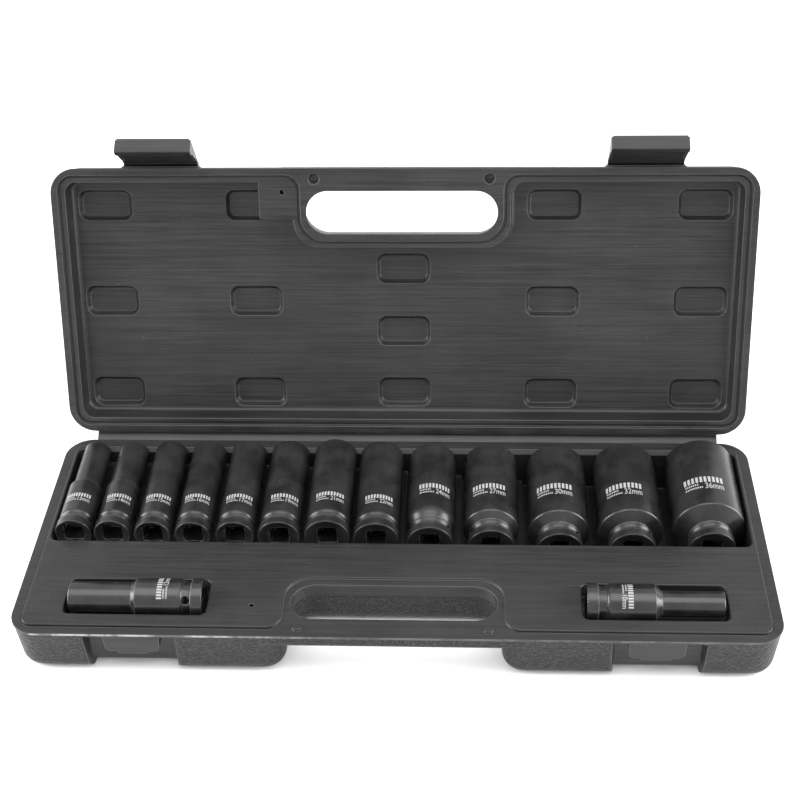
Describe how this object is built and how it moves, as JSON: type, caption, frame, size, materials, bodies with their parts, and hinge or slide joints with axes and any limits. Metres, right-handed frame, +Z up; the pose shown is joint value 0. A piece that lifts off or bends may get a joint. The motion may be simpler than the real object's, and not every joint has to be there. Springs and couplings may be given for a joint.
{
  "type": "impact socket set in case",
  "caption": "Folding tool case, shown open, holding a row of deep impact sockets in a moulded tray, with a hinged lid, snap latches and a slotted carrying handle.",
  "frame": {"origin": "middle of the base's flat underside", "axes": "+X to the right along the row of sockets, +Y back towards the hinge, +Z up"},
  "size_m": [0.465, 0.267, 0.2394],
  "materials": {
    "case_grained": "pebble grain",
    "case_smooth": "smooth",
    "latch": "smooth",
    "socket_steel": "black phosphate"
  },
  "bodies": {
    "base": {"base_outer_shell": "case_grained", "base_inner_tray": "case_smooth"},
    "web": {"hinge_web": "case_smooth"},
    "lid": {"lid_outer_shell": "case_grained", "lid_inner_panel": "case_smooth"},
    "left_latch": {"latch_left": "latch"},
    "right_latch": {"latch_right": "latch"},
    "socket_10mm_body": {"socket_10mm": "socket_steel"},
    "socket_12mm_body": {"socket_12mm": "socket_steel"},
    "socket_13mm_body": {"socket_13mm": "socket_steel"},
    "socket_14mm_body": {"socket_14mm": "socket_steel"},
    "socket_15mm_body": {"socket_15mm": "socket_steel"},
    "socket_16mm_body": {"socket_16mm": "socket_steel"},
    "socket_17mm_body": {"socket_17mm": "socket_steel"},
    "socket_19mm_body": {"socket_19mm": "socket_steel"},
    "socket_21mm_body": {"socket_21mm": "socket_steel"},
    "socket_22mm_body": {"socket_22mm": "socket_steel"},
    "socket_24mm_body": {"socket_24mm": "socket_steel"},
    "socket_27mm_body": {"socket_27mm": "socket_steel"},
    "socket_30mm_body": {"socket_30mm": "socket_steel"},
    "socket_32mm_body": {"socket_32mm": "socket_steel"},
    "socket_36mm_body": {"socket_36mm": "socket_steel"}
  },
  "joints": [
    {"name": "web_fold", "type": "hinge", "parent": "base", "child": "web", "pos_m": [0, 0.0932, 0.02995], "axis": [-1, 0, 0], "range_deg": [-54.18, 35.82]},
    {"name": "lid_fold", "type": "hinge", "parent": "web", "child": "lid", "pos_m": [0, 0.10139, 0.03586], "axis": [-1, 0, 0], "range_deg": [-54.18, 35.82]},
    {"name": "left_latch_hinge", "type": "hinge", "parent": "lid", "child": "left_latch", "pos_m": [-0.1585, 0.16138, 0.21361], "axis": [-1, 0, 0], "range_deg": [-39.5, 80.5]},
    {"name": "right_latch_hinge", "type": "hinge", "parent": "lid", "child": "right_latch", "pos_m": [0.1585, 0.16138, 0.21361], "axis": [-1, 0, 0], "range_deg": [-42, 78]},
    {"name": "lift_socket_10mm", "type": "slide", "parent": "base", "child": "socket_10mm_body", "axis": [0, 0, 1], "range_m": [0, 0.06]},
    {"name": "lift_socket_12mm", "type": "slide", "parent": "base", "child": "socket_12mm_body", "axis": [0, 0, 1], "range_m": [0, 0.06]},
    {"name": "lift_socket_13mm", "type": "slide", "parent": "base", "child": "socket_13mm_body", "axis": [0, 0, 1], "range_m": [0, 0.06]},
    {"name": "lift_socket_14mm", "type": "slide", "parent": "base", "child": "socket_14mm_body", "axis": [0, 0, 1], "range_m": [0, 0.06]},
    {"name": "lift_socket_15mm", "type": "slide", "parent": "base", "child": "socket_15mm_body", "axis": [0, 0, 1], "range_m": [0, 0.06]},
    {"name": "lift_socket_16mm", "type": "slide", "parent": "base", "child": "socket_16mm_body", "axis": [0, 0, 1], "range_m": [0, 0.06]},
    {"name": "lift_socket_17mm", "type": "slide", "parent": "base", "child": "socket_17mm_body", "axis": [0, 0, 1], "range_m": [0, 0.06]},
    {"name": "lift_socket_19mm", "type": "slide", "parent": "base", "child": "socket_19mm_body", "axis": [0, 0, 1], "range_m": [0, 0.06]},
    {"name": "lift_socket_21mm", "type": "slide", "parent": "base", "child": "socket_21mm_body", "axis": [0, 0, 1], "range_m": [0, 0.06]},
    {"name": "lift_socket_22mm", "type": "slide", "parent": "base", "child": "socket_22mm_body", "axis": [0, 0, 1], "range_m": [0, 0.06]},
    {"name": "lift_socket_24mm", "type": "slide", "parent": "base", "child": "socket_24mm_body", "axis": [0, 0, 1], "range_m": [0, 0.06]},
    {"name": "lift_socket_27mm", "type": "slide", "parent": "base", "child": "socket_27mm_body", "axis": [0, 0, 1], "range_m": [0, 0.06]},
    {"name": "lift_socket_30mm", "type": "slide", "parent": "base", "child": "socket_30mm_body", "axis": [0, 0, 1], "range_m": [0, 0.06]},
    {"name": "lift_socket_32mm", "type": "slide", "parent": "base", "child": "socket_32mm_body", "axis": [0, 0, 1], "range_m": [0, 0.06]},
    {"name": "lift_socket_36mm", "type": "slide", "parent": "base", "child": "socket_36mm_body", "axis": [0, 0, 1], "range_m": [0, 0.06]}
  ],
  "couplings": [
    {"joint": "lid_fold", "follows": "web_fold", "ratio": 1}
  ]
}
